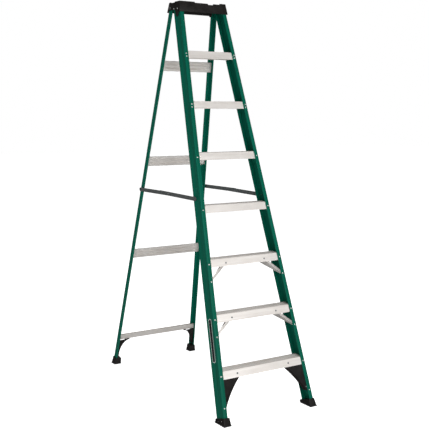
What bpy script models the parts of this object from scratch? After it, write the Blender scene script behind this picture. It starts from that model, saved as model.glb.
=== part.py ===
"""Four-legged fibreglass stepladder with seven steps, a tray cap and folding spreaders.

Frame: +X across the ladder, -Y towards the climber, +Z up, metres. The origin is on
the floor, at the middle of the open ladder's footprint.
"""
import math

import bmesh
import bpy
from mathutils import Matrix, Vector

# Whole ladder
STEP_RISE = 0.3048                    # spacing of the steps, measured along the front rail
STEP_COUNT = 7
FRONT_LEAN = math.radians(17.4)       # front section from the vertical
REAR_LEAN = math.radians(13.3)        # rear section from the vertical
APEX_Z = (STEP_COUNT + 1) * STEP_RISE * math.cos(FRONT_LEAN)
GAP = 0.0003                          # clearance between pieces that touch

# Front rails: channels, web outwards
FRONT_TOP_WIDTH = 0.310
FRONT_FLARE = 0.1315                  # growth of the width per metre of height
FRONT_WEB = 0.0767
FRONT_FLANGE = 0.0252
RAIL_WALL = 0.0032
RAIL_CORNER = 0.0030

# Rear rails: channels with a short front flange
REAR_TOP_WIDTH = 0.3095
REAR_FLARE = 0.1295
REAR_WEB = 0.035
REAR_FRONT_FLANGE = 0.0075
REAR_BACK_FLANGE = 0.026
REAR_WALL = 0.0030
REAR_CORNER = 0.0026
REAR_SETBACK = 0.0596                 # front face of the rear rails behind the front one, at the apex

# Cap, given from the front face of the front rails at the apex
CAP_SKIRT_Z = 2.247
CAP_FLOOR_Z = 2.297
CAP_RIM_Z = 2.310
CAP_WALL = 0.0035
CAP_LOW_HALF = 0.1675
CAP_HIGH_HALF = 0.1602
CAP_LOW_Y = (-0.0310, 0.1236)
CAP_HIGH_Y = (-0.0153, 0.1072)
PIVOT_Y = 0.0857
PIVOT_Z = 2.275
PIVOT_RADIUS = 0.0045

# Steps
STEP_DROP = 0.0170                    # tread below its nominal level
APRON_HEIGHT = 0.0420
STEP_SHEET = 0.0022
STEP_RIVET_DROP = 0.0240              # rivet below the tread
STEP_RIVET_INSET = 0.0112             # rivet from the rail's outer face

# Feet
BOOT_WALL = 0.0040
BOOT_INSIDE = 0.0390
BOOT_HEIGHT = 0.0430
SOLE_HEIGHT = 0.0060
SOLE_MARGIN = 0.0085
RAIL_FOOT_Z = SOLE_HEIGHT + GAP

# Knee braces: angles from a step's apron down to the flanges, as (x, z) of both ends
KNEE_BRACES = {2: ((0.150, 0.543), (0.2655, 0.4565)), 3: ((0.131, 0.8330), (0.2448, 0.7443))}
BRACE_HALF_WIDTH = 0.0070
BRACE_SHEET = 0.0022
BRACE_HOLE = 0.0026
BRACE_WEB_DEPTH = (0.0620, 0.0140)    # the angle's second leg, at its upper and lower ends
BEHIND_APRON = RAIL_WALL + STEP_SHEET + 2 * GAP

# Moulded gussets: each has a concave edge on an arch
FRONT_ARCH_CENTRE = (-0.167, -0.146)  # across from the middle plane, and z
FRONT_ARCH_RADIUS = 0.501
FRONT_ARCH_ANGLES = (152.5, 128.3)
FRONT_GUSSET_TOP = 0.2515
FRONT_GUSSET_DEPTH = 0.030
REAR_GUSSET_TIP = 0.207
REAR_GUSSET_Z = (0.0590, 0.1650)
REAR_GUSSET_REACH = 0.004             # its curve's lower end, out past the flange's edge
REAR_GUSSET_RISE = 0.0010             # the plate above the end of that curve
REAR_GUSSET_DEPTH = 0.0195
GUSSET_WALL = 0.003
GUSSET_LIP = 0.0006                   # flange past the plate's edge
GUSSET_SEGMENTS = 12

# Rear cross bars
REAR_BAR_HEIGHTS = {"rear_bar_top": 1.9415, "rear_bar_middle": 1.3590, "rear_bar_lower": 0.7600}
BOTTOM_BAR_HEIGHT = 0.1830
REAR_BAR_HALF = 0.0310
REAR_BAR_RIDGE = 0.0075
REAR_BAR_SHEET = 0.0018
REAR_BAR_HEM = 0.0060
BOTTOM_BAR_HALF = 0.0150
BOTTOM_BAR_LEDGE = 0.0120
BOTTOM_BAR_SHEET = 0.0025

# Spreaders
BAR_WIDTH = 0.0235
BAR_THICKNESS = 0.0025
BAR_FRONT_PIVOT = (-0.306, 1.180)     # y from the apex line, and z
BAR_REAR_PIVOT = (0.353, 1.186)
BAR_ELBOW = (0.0414, 1.1865)
BAR_OVERLAP = 0.055
BAR_OFFSET = 0.0015                   # inner bar from the front rail's web
RIVET_SHANK = 0.0030
COLLAR_RADIUS = 0.0066

# Worked out from the above
FRONT_HALF_AT_FLOOR = (FRONT_TOP_WIDTH + FRONT_FLARE * APEX_Z) / 2
FRONT_SPLAY = math.atan(FRONT_FLARE / 2 * math.cos(FRONT_LEAN))
REAR_SPLAY = math.atan(REAR_FLARE / 2 * math.cos(REAR_LEAN))
FRONT_RUN = APEX_Z * math.tan(FRONT_LEAN)
REAR_RUN = REAR_SETBACK + APEX_Z * math.tan(REAR_LEAN) + REAR_WEB / math.cos(REAR_LEAN)
APEX_Y = (FRONT_RUN - REAR_RUN) / 2
REAR_HALF_AT_PIVOT = (REAR_TOP_WIDTH + REAR_FLARE * (APEX_Z - PIVOT_Z)) / 2
REAR_FACE_FROM_PIVOT = (PIVOT_Y - REAR_SETBACK) * math.cos(REAR_LEAN) - (
    (APEX_Z - PIVOT_Z) * math.sin(REAR_LEAN))
SIDES = (("left", -1), ("right", 1))


# ---------------------------------------------------------------- scene and helpers

def clear_scene():
    for item in list(bpy.data.objects):
        bpy.data.objects.remove(item)


def new_collection(name):
    collection = bpy.data.collections.new(name)
    bpy.context.scene.collection.children.link(collection)
    return collection


def new_material(name, colour, roughness, metallic=0.0):
    material = bpy.data.materials.new(name)
    material.use_nodes = True
    shader = material.node_tree.nodes["Principled BSDF"]
    shader.inputs["Base Color"].default_value = (*colour, 1.0)
    shader.inputs["Roughness"].default_value = roughness
    shader.inputs["Metallic"].default_value = metallic
    return material


clear_scene()
LADDER = new_collection("stepladder")
CUTTERS = new_collection("cutters")
FIBREGLASS = new_material("green_fibreglass", (0.0, 0.115, 0.075), 0.42)
ALUMINIUM = new_material("mill_aluminium", (0.72, 0.68, 0.64), 0.38, 1.0)
STEEL = new_material("grey_steel", (0.16, 0.18, 0.18), 0.45, 1.0)
PLASTIC = new_material("black_plastic", (0.025, 0.022, 0.02), 0.5)
RUBBER = new_material("black_rubber", (0.015, 0.015, 0.015), 0.8)


def place(mesh, name, material, parent=None, location=(0, 0, 0), rotation=(0, 0, 0)):
    """Link a mesh as one sub-part, located in its parent's frame."""
    piece = bpy.data.objects.new(name, mesh)
    LADDER.objects.link(piece)
    mesh.materials.clear()
    mesh.materials.append(material)
    piece.parent = parent
    piece.location = location
    piece.rotation_euler = rotation
    return piece


def place_cutter(mesh, name, parent=None, location=(0, 0, 0), rotation=(0, 0, 0)):
    cutter = bpy.data.objects.new(name, mesh)
    CUTTERS.objects.link(cutter)
    cutter.parent = parent
    cutter.location = location
    cutter.rotation_euler = rotation
    cutter.hide_render = True
    cutter.display_type = "WIRE"
    return cutter


def combine(piece, tool, operation="DIFFERENCE"):
    modifier = piece.modifiers.new(operation.lower(), "BOOLEAN")
    modifier.operation = operation
    modifier.solver = "EXACT"
    modifier.object = tool


def attach(piece, parent):
    """Parent a piece that already stands where it belongs in the world."""
    bpy.context.view_layer.update()
    piece.parent = parent
    piece.matrix_parent_inverse = parent.matrix_world.inverted()


def new_frame(name, location, rotation):
    empty = bpy.data.objects.new(name, None)
    LADDER.objects.link(empty)
    empty.location = location
    empty.rotation_euler = rotation
    return empty


def arc(centre, radii, start, end, segments):
    """Points on an ellipse's arc, angles in degrees."""
    points = []
    for index in range(segments + 1):
        angle = math.radians(start + (end - start) * index / segments)
        points.append((centre[0] + radii[0] * math.cos(angle),
                       centre[1] + radii[1] * math.sin(angle)))
    return points


def rounded(corners, segments=3):
    """Outline whose corners, given as (x, y, radius), are turned into arcs."""
    outline = []
    count = len(corners)
    for index, (x, y, radius) in enumerate(corners):
        here = Vector((x, y))
        before = (Vector(corners[index - 1][:2]) - here).normalized()
        after = (Vector(corners[(index + 1) % count][:2]) - here).normalized()
        if radius == 0:
            outline.append((x, y))
            continue
        half_angle = before.angle(after) / 2
        centre = here + (before + after).normalized() * radius / math.sin(half_angle)
        reach = radius / math.tan(half_angle)
        first = here + before * reach - centre
        last = here + after * reach - centre
        sweep = first.angle_signed(last)
        for step in range(segments + 1):
            point = first.copy()
            point.rotate(Matrix.Rotation(-sweep * step / segments, 2))
            outline.append(tuple(centre + point))
    return outline


def circle(centre, radius, segments=12):
    return arc(centre, (radius, radius), 0, 360 - 360 / segments, segments - 1)


def outline_mesh(name, outline, depth, holes=(), base=None):
    """Flat outline in XY, extruded along Z: about z = 0, or upwards from base."""
    curve = bpy.data.curves.new(name, "CURVE")
    curve.dimensions = "2D"
    curve.fill_mode = "BOTH"
    curve.extrude = depth / 2
    for points in (outline, *holes):
        spline = curve.splines.new("POLY")
        spline.points.add(len(points) - 1)
        spline.use_cyclic_u = True
        for target, (x, y) in zip(spline.points, points):
            target.co = (x, y, 0, 1)
    source = bpy.data.objects.new(name, curve)
    bpy.context.scene.collection.objects.link(source)
    graph = bpy.context.evaluated_depsgraph_get()
    mesh = bpy.data.meshes.new_from_object(source.evaluated_get(graph))
    bpy.data.objects.remove(source)
    shape = bmesh.new()
    shape.from_mesh(mesh)
    bmesh.ops.remove_doubles(shape, verts=shape.verts, dist=1e-5)
    bmesh.ops.recalc_face_normals(shape, faces=shape.faces)
    shape.to_mesh(mesh)
    shape.free()
    if base is not None:
        mesh.transform(Matrix.Translation((0, 0, base + depth / 2)))
    return mesh


def turned_mesh(name, profile, segments=12):
    """Solid of revolution about Z from (radius, z) points, top to bottom."""
    mesh = bpy.data.meshes.new(name)
    points = [(radius, 0, z) for radius, z in profile]
    edges = [(index, index + 1) for index in range(len(points) - 1)]
    mesh.from_pydata(points, edges, [])
    source = bpy.data.objects.new(name, mesh)
    bpy.context.scene.collection.objects.link(source)
    screw = source.modifiers.new("turn", "SCREW")
    screw.axis = "Z"
    screw.steps = segments
    screw.render_steps = segments
    screw.use_merge_vertices = True
    screw.merge_threshold = 0.00001
    graph = bpy.context.evaluated_depsgraph_get()
    solid = bpy.data.meshes.new_from_object(source.evaluated_get(graph))
    bpy.data.objects.remove(source)
    shape = bmesh.new()
    shape.from_mesh(solid)
    bmesh.ops.remove_doubles(shape, verts=shape.verts, dist=1e-5)
    bmesh.ops.recalc_face_normals(shape, faces=shape.faces)
    shape.to_mesh(solid)
    shape.free()
    solid.shade_smooth()
    solid.set_sharp_from_angle(angle=math.radians(40))
    return solid


def block_mesh(name, low, high):
    return tapered_mesh(name, (low[0], high[0]), (low[0], high[0]),
                        (low[1], high[1]), (low[1], high[1]), (low[2], high[2]))


def tapered_mesh(name, low_x, high_x, low_y, high_y, z_span):
    """Block whose plan changes evenly from its bottom to its top."""
    shape = bmesh.new()
    bmesh.ops.create_cube(shape, size=2)
    for vert in shape.verts:
        level = int(vert.co.z > 0)
        x_span = high_x if level else low_x
        y_span = high_y if level else low_y
        vert.co = (x_span[int(vert.co.x > 0)], y_span[int(vert.co.y > 0)], z_span[level])
    mesh = bpy.data.meshes.new(name)
    shape.to_mesh(mesh)
    shape.free()
    return mesh


def drills_mesh(name, holes, axis, segments=12):
    """Separate cylinders along one axis, from (centre, radius, length)."""
    turn = {"X": Matrix.Rotation(math.pi / 2, 4, "Y"),
            "Y": Matrix.Rotation(math.pi / 2, 4, "X")}[axis]
    shape = bmesh.new()
    for centre, radius, length in holes:
        bmesh.ops.create_cone(shape, cap_ends=True, segments=segments, radius1=radius,
                              radius2=radius, depth=length,
                              matrix=Matrix.Translation(centre) @ turn)
    mesh = bpy.data.meshes.new(name)
    shape.to_mesh(mesh)
    shape.free()
    return mesh


def mirror_mesh(mesh, side):
    """The left hand's mesh as it is, or mirrored for the right hand."""
    copy = mesh.copy()
    if side > 0:
        copy.transform(Matrix.Scale(-1, 4, (1, 0, 0)))
        copy.flip_normals()
    return copy


def rivet_mesh(name, head_radius, head_height, shank_radius, length):
    """Domed rivet along Z, its head's underside at z = 0 and its shank downwards."""
    profile = [(0, head_height), (head_radius * 0.6, head_height * 0.85),
               (head_radius * 0.93, head_height * 0.45), (head_radius, 0),
               (shank_radius, 0), (shank_radius, -length), (0, -length)]
    return turned_mesh(name, profile)


def channel_outline(web, front_flange, back_flange, wall, corner):
    """Channel section, web along Y with its outer face at x = 0, flanges towards +X."""
    return rounded([
        (0, 0, corner), (front_flange, 0, 0), (front_flange, wall, 0), (wall, wall, 0),
        (wall, web - wall, 0), (back_flange, web - wall, 0), (back_flange, web, 0),
        (0, web, corner)])


def strip_outline(middle, thickness):
    """Closed outline of a bent sheet from the points of one of its faces."""
    count = len(middle)
    other = []
    for index, point in enumerate(middle):
        here = Vector(point)
        normals = []
        if index > 0:
            normals.append((here - Vector(middle[index - 1])).orthogonal().normalized())
        if index < count - 1:
            normals.append((Vector(middle[index + 1]) - here).orthogonal().normalized())
        normal = sum(normals, Vector((0, 0))).normalized()
        other.append(tuple(here + normal * thickness / normal.dot(normals[0])))
    return list(middle) + other[::-1]


def front_half_width(along):
    """Outer half width of the front section, at a distance up its slope."""
    return FRONT_HALF_AT_FLOOR - along * math.tan(FRONT_SPLAY)


def rear_half_width(down):
    """Outer half width of the rear section, at a distance down its slope."""
    return REAR_HALF_AT_PIVOT + down * math.tan(REAR_SPLAY)


def step_level(number):
    return number * STEP_RISE * math.cos(FRONT_LEAN) - STEP_DROP


# ---------------------------------------------------------------- frames of the two sections

FRONT = new_frame("front_frame", (0, APEX_Y - FRONT_RUN, 0), (-FRONT_LEAN, 0, 0))
REAR = new_frame("rear_frame", (0, APEX_Y + PIVOT_Y, PIVOT_Z), (REAR_LEAN, 0, 0))
FLOOR_CUT = place_cutter(block_mesh("floor_cut", (-0.6, -1, -0.2), (0.6, 1, RAIL_FOOT_Z)),
                         "floor_cut")
BOOT_CUT = place_cutter(block_mesh("boot_cut", (-0.6, -1, -0.2), (0.6, 1, RAIL_FOOT_Z)),
                        "boot_cut")
TOP_CUT = place_cutter(
    block_mesh("top_cut", (-0.6, -1, CAP_FLOOR_Z - CAP_WALL - 0.0012), (0.6, 1, 2.7)), "top_cut")


def floor_to_slope(z, lean):
    return z / math.cos(lean)


# ---------------------------------------------------------------- front section

def step_rivet_places(side):
    """Flange rivets of the steps, in the front section's frame."""
    places = []
    for number in range(1, STEP_COUNT + 1):
        along = floor_to_slope(step_level(number) - STEP_RIVET_DROP, FRONT_LEAN)
        across = front_half_width(along) - STEP_RIVET_INSET
        places.append((side * across, 0, along))
    return places


def make_front_rails():
    section = channel_outline(FRONT_WEB, FRONT_FLANGE, FRONT_FLANGE, RAIL_WALL, RAIL_CORNER)
    mesh = outline_mesh("front_rail", section, 2.55, base=-0.04)
    for label, side in SIDES:
        rail = place(mirror_mesh(mesh, side), f"front_rail_{label}", FIBREGLASS, FRONT,
                     (side * FRONT_HALF_AT_FLOOR, 0, 0), (0, -side * FRONT_SPLAY, 0))
        combine(rail, FLOOR_CUT)
        combine(rail, TOP_CUT)
        rivets = [(centre, RIVET_SHANK + 0.0005, 0.03) for centre in step_rivet_places(side)]
        drills = place_cutter(drills_mesh("step_drills", rivets, "Y"),
                              f"step_drills_{label}", FRONT)
        combine(rail, drills)
        y, z = BAR_FRONT_PIVOT
        pivot = ((side * 0.23, APEX_Y + y, z), RIVET_SHANK + 0.0005, 0.06)
        combine(rail, place_cutter(drills_mesh("bar_drill", [pivot], "X"),
                                   f"front_bar_drill_{label}"))


def make_step_rivets():
    mesh = rivet_mesh("step_rivet", 0.0048, 0.0020, RIVET_SHANK, 0.0090)
    for label, side in SIDES:
        for number, centre in enumerate(step_rivet_places(side), start=1):
            place(mesh.copy(), f"step_rivet_{number}_{label}", ALUMINIUM, FRONT,
                  (centre[0], -GAP, centre[2]), (math.pi / 2, 0, 0))


def make_step(number):
    """Inverted channel between the rails, with a raised nose between their flanges."""
    slope = math.tan(FRONT_LEAN)
    along = floor_to_slope(step_level(number), FRONT_LEAN)
    front = (RAIL_WALL + GAP) / math.cos(FRONT_LEAN)
    back = (FRONT_WEB - RAIL_WALL - GAP) / math.cos(FRONT_LEAN)
    drop = -APRON_HEIGHT
    sheet = STEP_SHEET / math.cos(FRONT_LEAN)
    section = [(front, 0), (back, 0), (back + drop * slope, drop),
               (back - sheet + drop * slope, drop),
               (back - sheet - STEP_SHEET * slope, -STEP_SHEET),
               (front + sheet - STEP_SHEET * slope, -STEP_SHEET),
               (front + sheet + drop * slope, drop), (front + drop * slope, drop)]
    nose = [(0.0004, 0), (front + sheet / 2, 0), (front + sheet / 2 + drop * slope, drop),
            (0.0004 + drop * slope, drop)]
    to_side_view = Matrix(((0, 0, 1, 0), (1, 0, 0, 0), (0, 1, 0, 0), (0, 0, 0, 1)))

    def crosswise(name, outline, inset):
        mesh = outline_mesh(name, outline, 0.3)
        mesh.transform(to_side_view)
        for vert in mesh.vertices:
            up = vert.co.z * math.cos(FRONT_LEAN) + vert.co.y * math.sin(FRONT_LEAN)
            reach = front_half_width(along + up) - inset
            vert.co.x = math.copysign(reach, vert.co.x)
        return mesh

    name = f"step_{number}"
    step = place(crosswise(name, section, RAIL_WALL + 2 * GAP), name, ALUMINIUM, FRONT,
                 (0, 0, along), (FRONT_LEAN, 0, 0))
    nose_piece = place_cutter(crosswise("nose", nose, FRONT_FLANGE + 0.0020),
                              f"step_nose_{number}", FRONT, (0, 0, along), (FRONT_LEAN, 0, 0))
    combine(step, nose_piece, "UNION")
    holes = []
    for _, side in SIDES:
        holes.append((step_rivet_places(side)[number - 1], RIVET_SHANK + 0.0005, 0.03))
    combine(step, place_cutter(drills_mesh("step_holes", holes, "Y"),
                               f"step_holes_{number}", FRONT))


def make_knee_braces():
    """Diagonal angles from a step's apron to the rail's flange below it."""
    radius = BRACE_HALF_WIDTH
    for number, (inner, outer) in KNEE_BRACES.items():
        for label, side in SIDES:
            start = Vector((side * inner[0], floor_to_slope(inner[1], FRONT_LEAN)))
            end = Vector((side * outer[0], floor_to_slope(outer[1], FRONT_LEAN)))
            length = (end - start).length
            outline = arc((0, 0), (radius, radius), 90, 270, 6) + arc(
                (length, 0), (radius, radius), -90, 90, 6)
            holes = [circle((0, 0), BRACE_HOLE), circle((length, 0), BRACE_HOLE)]
            leg = outline_mesh("knee_brace", outline, BRACE_SHEET, holes)
            inner_edge = -radius * side
            edges = sorted((inner_edge, inner_edge + side * BRACE_SHEET))
            web = block_mesh("knee_web", (0, edges[0], -1), (length, edges[1], 0))
            for vert in web.vertices:
                if vert.co.z < 0:
                    vert.co.z = -BRACE_WEB_DEPTH[int(vert.co.x > 0)]
            angle = math.atan2(end.y - start.y, end.x - start.x)
            turn = Matrix.Rotation(math.pi / 2, 4, "X") @ Matrix.Rotation(angle, 4, "Z")
            leg.transform(turn)
            web.transform(turn)
            corner = (start.x, BEHIND_APRON + BRACE_SHEET / 2, start.y)
            piece = place(leg, f"knee_brace_{number}_{label}", ALUMINIUM, FRONT, corner)
            combine(piece, place_cutter(web, f"knee_web_{number}_{label}", FRONT, corner),
                    "UNION")


def gusset_meshes(name, centre, radii, angles, outer_at, top, depth):
    """Plate with a concave edge on an ellipse, and the flange along that edge.

    Heights run along the slope, and outer_at gives the plate's outer edge as a distance
    from the middle plane at a height. The meshes are for the left hand, in the XZ plane.
    """
    curve = arc(centre, radii, *angles, GUSSET_SEGMENTS)
    tip, bottom = curve[-1][0], curve[0][1]
    plate = [(-outer_at(bottom), bottom)] + curve + [(tip, top), (-outer_at(top), top)]
    trim = (angles[1] - angles[0]) / 30
    edges = []
    for grow in (-GUSSET_LIP, GUSSET_WALL):
        edges.append(arc(centre, (radii[0] + grow, radii[1] + grow), angles[0] + trim,
                         angles[1] - trim, GUSSET_SEGMENTS))
    turn = Matrix.Rotation(math.pi / 2, 4, "X")
    plate_mesh = outline_mesh(name, plate, GUSSET_WALL)
    plate_mesh.transform(Matrix.Translation((0, GUSSET_WALL / 2, 0)) @ turn)
    flange_mesh = outline_mesh(name + "_flange", edges[0] + edges[1][::-1], depth)
    flange_mesh.transform(Matrix.Translation((0, depth / 2 + GUSSET_LIP, 0)) @ turn)
    return plate_mesh, flange_mesh


def make_front_gussets():
    """Moulded corner braces under the lowest step, with a wide arch between them."""
    centre = (-FRONT_ARCH_CENTRE[0], floor_to_slope(FRONT_ARCH_CENTRE[1], FRONT_LEAN))
    radii = (FRONT_ARCH_RADIUS, floor_to_slope(FRONT_ARCH_RADIUS, FRONT_LEAN))
    top = floor_to_slope(FRONT_GUSSET_TOP, FRONT_LEAN)
    plate, flange = gusset_meshes(
        "front_gusset", centre, radii, FRONT_ARCH_ANGLES,
        lambda along: front_half_width(along) - RAIL_WALL - 3 * GAP, top,
        FRONT_GUSSET_DEPTH)
    for label, side in SIDES:
        piece = place(mirror_mesh(plate, side), f"front_gusset_{label}", PLASTIC, FRONT,
                      (0, BEHIND_APRON, 0))
        edge = place_cutter(mirror_mesh(flange, side), f"front_gusset_flange_{label}", FRONT,
                            (0, BEHIND_APRON, 0))
        combine(piece, edge, "UNION")
        centre = step_rivet_places(side)[0]
        clearance = [(centre, 0.0042, 0.06)]
        combine(piece, place_cutter(drills_mesh("gusset_hole", clearance, "Y"),
                                    f"front_gusset_hole_{label}", FRONT))


# ---------------------------------------------------------------- feet

def make_boot(name, section_mesh, web, parent, location, rotation, side):
    """Moulded shoe with a slot that the rail stands in, cut level at the floor."""
    height = floor_to_slope(BOOT_HEIGHT, abs(parent.rotation_euler.x))
    bottom = location[2] - 0.05
    top = location[2] + height
    body = block_mesh(name, (-BOOT_WALL, -BOOT_WALL, bottom - location[2]),
                      (BOOT_INSIDE - BOOT_WALL, web + BOOT_WALL, top - location[2]))
    boot = place(mirror_mesh(body, side), name, PLASTIC, parent, location, rotation)
    edges = boot.modifiers.new("edges", "BEVEL")
    edges.width = 0.002
    edges.segments = 2
    combine(boot, BOOT_CUT)
    slot = place_cutter(mirror_mesh(section_mesh, side), name + "_slot", parent, location,
                        rotation)
    combine(boot, slot)


def make_sole(name, side, outer, inner, front, back, parent):
    """Ribbed rubber pad under a boot, cut from a bar whose grooves run across."""
    ribs = 6
    pitch = (back - front) / ribs
    groove = 0.0025
    depth = 0.0020
    outline = [(front, SOLE_HEIGHT), (front, 0)]
    for rib in range(1, ribs):
        middle = front + rib * pitch
        outline += [(middle - groove / 2, 0), (middle - groove / 2, depth),
                    (middle + groove / 2, depth), (middle + groove / 2, 0)]
    outline += [(back, 0), (back, SOLE_HEIGHT)]
    mesh = outline_mesh(name, outline, outer - inner, base=inner)
    mesh.transform(Matrix(((0, 0, 1, 0), (1, 0, 0, 0), (0, 1, 0, 0), (0, 0, 0, 1))))
    if side < 0:
        mesh.transform(Matrix.Scale(-1, 4, (1, 0, 0)))
        mesh.flip_normals()
    attach(place(mesh, name, RUBBER), parent)


def make_feet():
    loose = 0.0003
    front_slot = outline_mesh("front_slot", channel_outline(
        FRONT_WEB + 2 * loose, FRONT_FLANGE + loose, FRONT_FLANGE + loose,
        RAIL_WALL + 2 * loose, RAIL_CORNER), 0.3, base=-0.1)
    front_slot.transform(Matrix.Translation((-loose, -loose, 0)))
    rear_slot = outline_mesh("rear_slot", channel_outline(
        REAR_WEB + 2 * loose, REAR_FRONT_FLANGE + loose, REAR_BACK_FLANGE + loose,
        REAR_WALL + 2 * loose, REAR_CORNER), 0.3, base=-0.1)
    rear_slot.transform(Matrix.Translation((-loose, -loose, 0)))
    down = PIVOT_Z / math.cos(REAR_LEAN) - REAR_FACE_FROM_PIVOT * math.tan(REAR_LEAN)
    rear_half_foot = rear_half_width(down)
    front_toe = APEX_Y - FRONT_RUN
    rear_heel = APEX_Y + REAR_RUN
    rear_toe = rear_heel - REAR_WEB / math.cos(REAR_LEAN)
    for label, side in SIDES:
        make_boot(f"front_boot_{label}", front_slot, FRONT_WEB, FRONT,
                  (side * FRONT_HALF_AT_FLOOR, 0, 0), (0, -side * FRONT_SPLAY, 0), side)
        make_boot(f"rear_boot_{label}", rear_slot, REAR_WEB, REAR,
                  (side * rear_half_foot, -REAR_FACE_FROM_PIVOT, -down),
                  (0, -side * REAR_SPLAY, 0), side)
        make_sole(f"front_sole_{label}", side, FRONT_HALF_AT_FLOOR + SOLE_MARGIN,
                  FRONT_HALF_AT_FLOOR - BOOT_INSIDE, front_toe - SOLE_MARGIN,
                  front_toe + FRONT_WEB / math.cos(FRONT_LEAN) + SOLE_MARGIN, FRONT)
        make_sole(f"rear_sole_{label}", side, rear_half_foot + SOLE_MARGIN,
                  rear_half_foot - BOOT_INSIDE, rear_toe - SOLE_MARGIN,
                  rear_heel + SOLE_MARGIN, REAR)


# ---------------------------------------------------------------- rear section

def make_rear_rails():
    section = channel_outline(REAR_WEB, REAR_FRONT_FLANGE, REAR_BACK_FLANGE, REAR_WALL,
                              REAR_CORNER)
    top = 0.0095
    length = 2.45
    mesh = outline_mesh("rear_rail", section, length, base=top - length)
    for label, side in SIDES:
        rail = place(mirror_mesh(mesh, side), f"rear_rail_{label}", FIBREGLASS, REAR,
                     (side * REAR_HALF_AT_PIVOT, -REAR_FACE_FROM_PIVOT, 0),
                     (0, -side * REAR_SPLAY, 0))
        combine(rail, FLOOR_CUT)
        y, z = BAR_REAR_PIVOT
        holes = [((side * 0.16, APEX_Y + PIVOT_Y, PIVOT_Z), PIVOT_RADIUS + 0.0006, 0.06),
                 ((side * 0.23, APEX_Y + y, z), RIVET_SHANK + 0.0005, 0.03)]
        combine(rail, place_cutter(drills_mesh("rear_drills", holes, "X"),
                                   f"rear_drills_{label}"))


def make_rear_bars():
    """Ridged cross bars and a plain lowest one, in front of the rails' back flanges."""
    seat = REAR_WEB - REAR_WALL - GAP - REAR_FACE_FROM_PIVOT
    sheet = REAR_BAR_SHEET
    ridge = REAR_BAR_RIDGE
    half = REAR_BAR_HALF
    bands = [(REAR_BAR_HEM, -half), (0, -half), (0, -0.0150), (ridge - sheet, -0.0135),
             (ridge - sheet, -0.0095), (0, -0.0080), (0, 0.0065), (ridge - sheet, 0.0080),
             (ridge - sheet, 0.0120), (0, 0.0135), (0, half), (REAR_BAR_HEM, half)]
    ridged = strip_outline(bands, sheet)
    plain = strip_outline([(BOTTOM_BAR_LEDGE, BOTTOM_BAR_HALF), (0, BOTTOM_BAR_HALF),
                           (0, -BOTTOM_BAR_HALF)], -BOTTOM_BAR_SHEET)
    sections = {name: (height, ridged, ridge) for name, height in REAR_BAR_HEIGHTS.items()}
    sections["rear_bar_bottom"] = (BOTTOM_BAR_HEIGHT, plain, BOTTOM_BAR_LEDGE)
    turn = Matrix(((0, 0, 1, 0), (1, 0, 0, 0), (0, 1, 0, 0), (0, 0, 0, 1)))
    for name, (height, outline, lean_in) in sections.items():
        down = (PIVOT_Z - height) / math.cos(REAR_LEAN)
        mesh = outline_mesh(name, outline, 0.3)
        mesh.transform(turn)
        for vert in mesh.vertices:
            reach = rear_half_width(down - vert.co.z) - REAR_WALL - 2 * GAP
            vert.co.x = math.copysign(reach, vert.co.x)
        place(mesh, name, ALUMINIUM, REAR, (0, seat - lean_in, -down))


def make_rear_gussets():
    low_z, high_z = REAR_GUSSET_Z
    top = -(PIVOT_Z - high_z) / math.cos(REAR_LEAN)
    bottom = -(PIVOT_Z - low_z) / math.cos(REAR_LEAN)
    seat = REAR_WEB - REAR_WALL - 2 * GAP - 0.020 - REAR_FACE_FROM_PIVOT
    edge_at_bottom = rear_half_width(-bottom) - REAR_BACK_FLANGE + REAR_GUSSET_REACH
    plate, flange = gusset_meshes(
        "rear_gusset", (-REAR_GUSSET_TIP, bottom),
        (edge_at_bottom - REAR_GUSSET_TIP, top - bottom), (180, 90),
        lambda height: rear_half_width(-height) - REAR_WALL - 3 * GAP,
        top + REAR_GUSSET_RISE, REAR_GUSSET_DEPTH)
    for label, side in SIDES:
        piece = place(mirror_mesh(plate, side), f"rear_gusset_{label}", PLASTIC, REAR,
                      (0, seat, 0))
        edge = place_cutter(mirror_mesh(flange, side), f"rear_gusset_flange_{label}", REAR,
                            (0, seat, 0))
        combine(piece, edge, "UNION")


# ---------------------------------------------------------------- cap and rear pivots

def ear_mesh(name, centre_y, bottom, radius, top, half_top, x_low, x_high):
    """Lug in the YZ plane with a round lower end."""
    centre = (centre_y, bottom + radius)
    outline = arc(centre, (radius, radius), 200, 340, 8)
    outline += [(centre_y + half_top, top), (centre_y - half_top, top)]
    mesh = outline_mesh(name, outline, x_high - x_low, base=x_low)
    mesh.transform(Matrix(((0, 0, 1, 0), (1, 0, 0, 0), (0, 1, 0, 0), (0, 0, 0, 1))))
    return mesh


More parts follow.
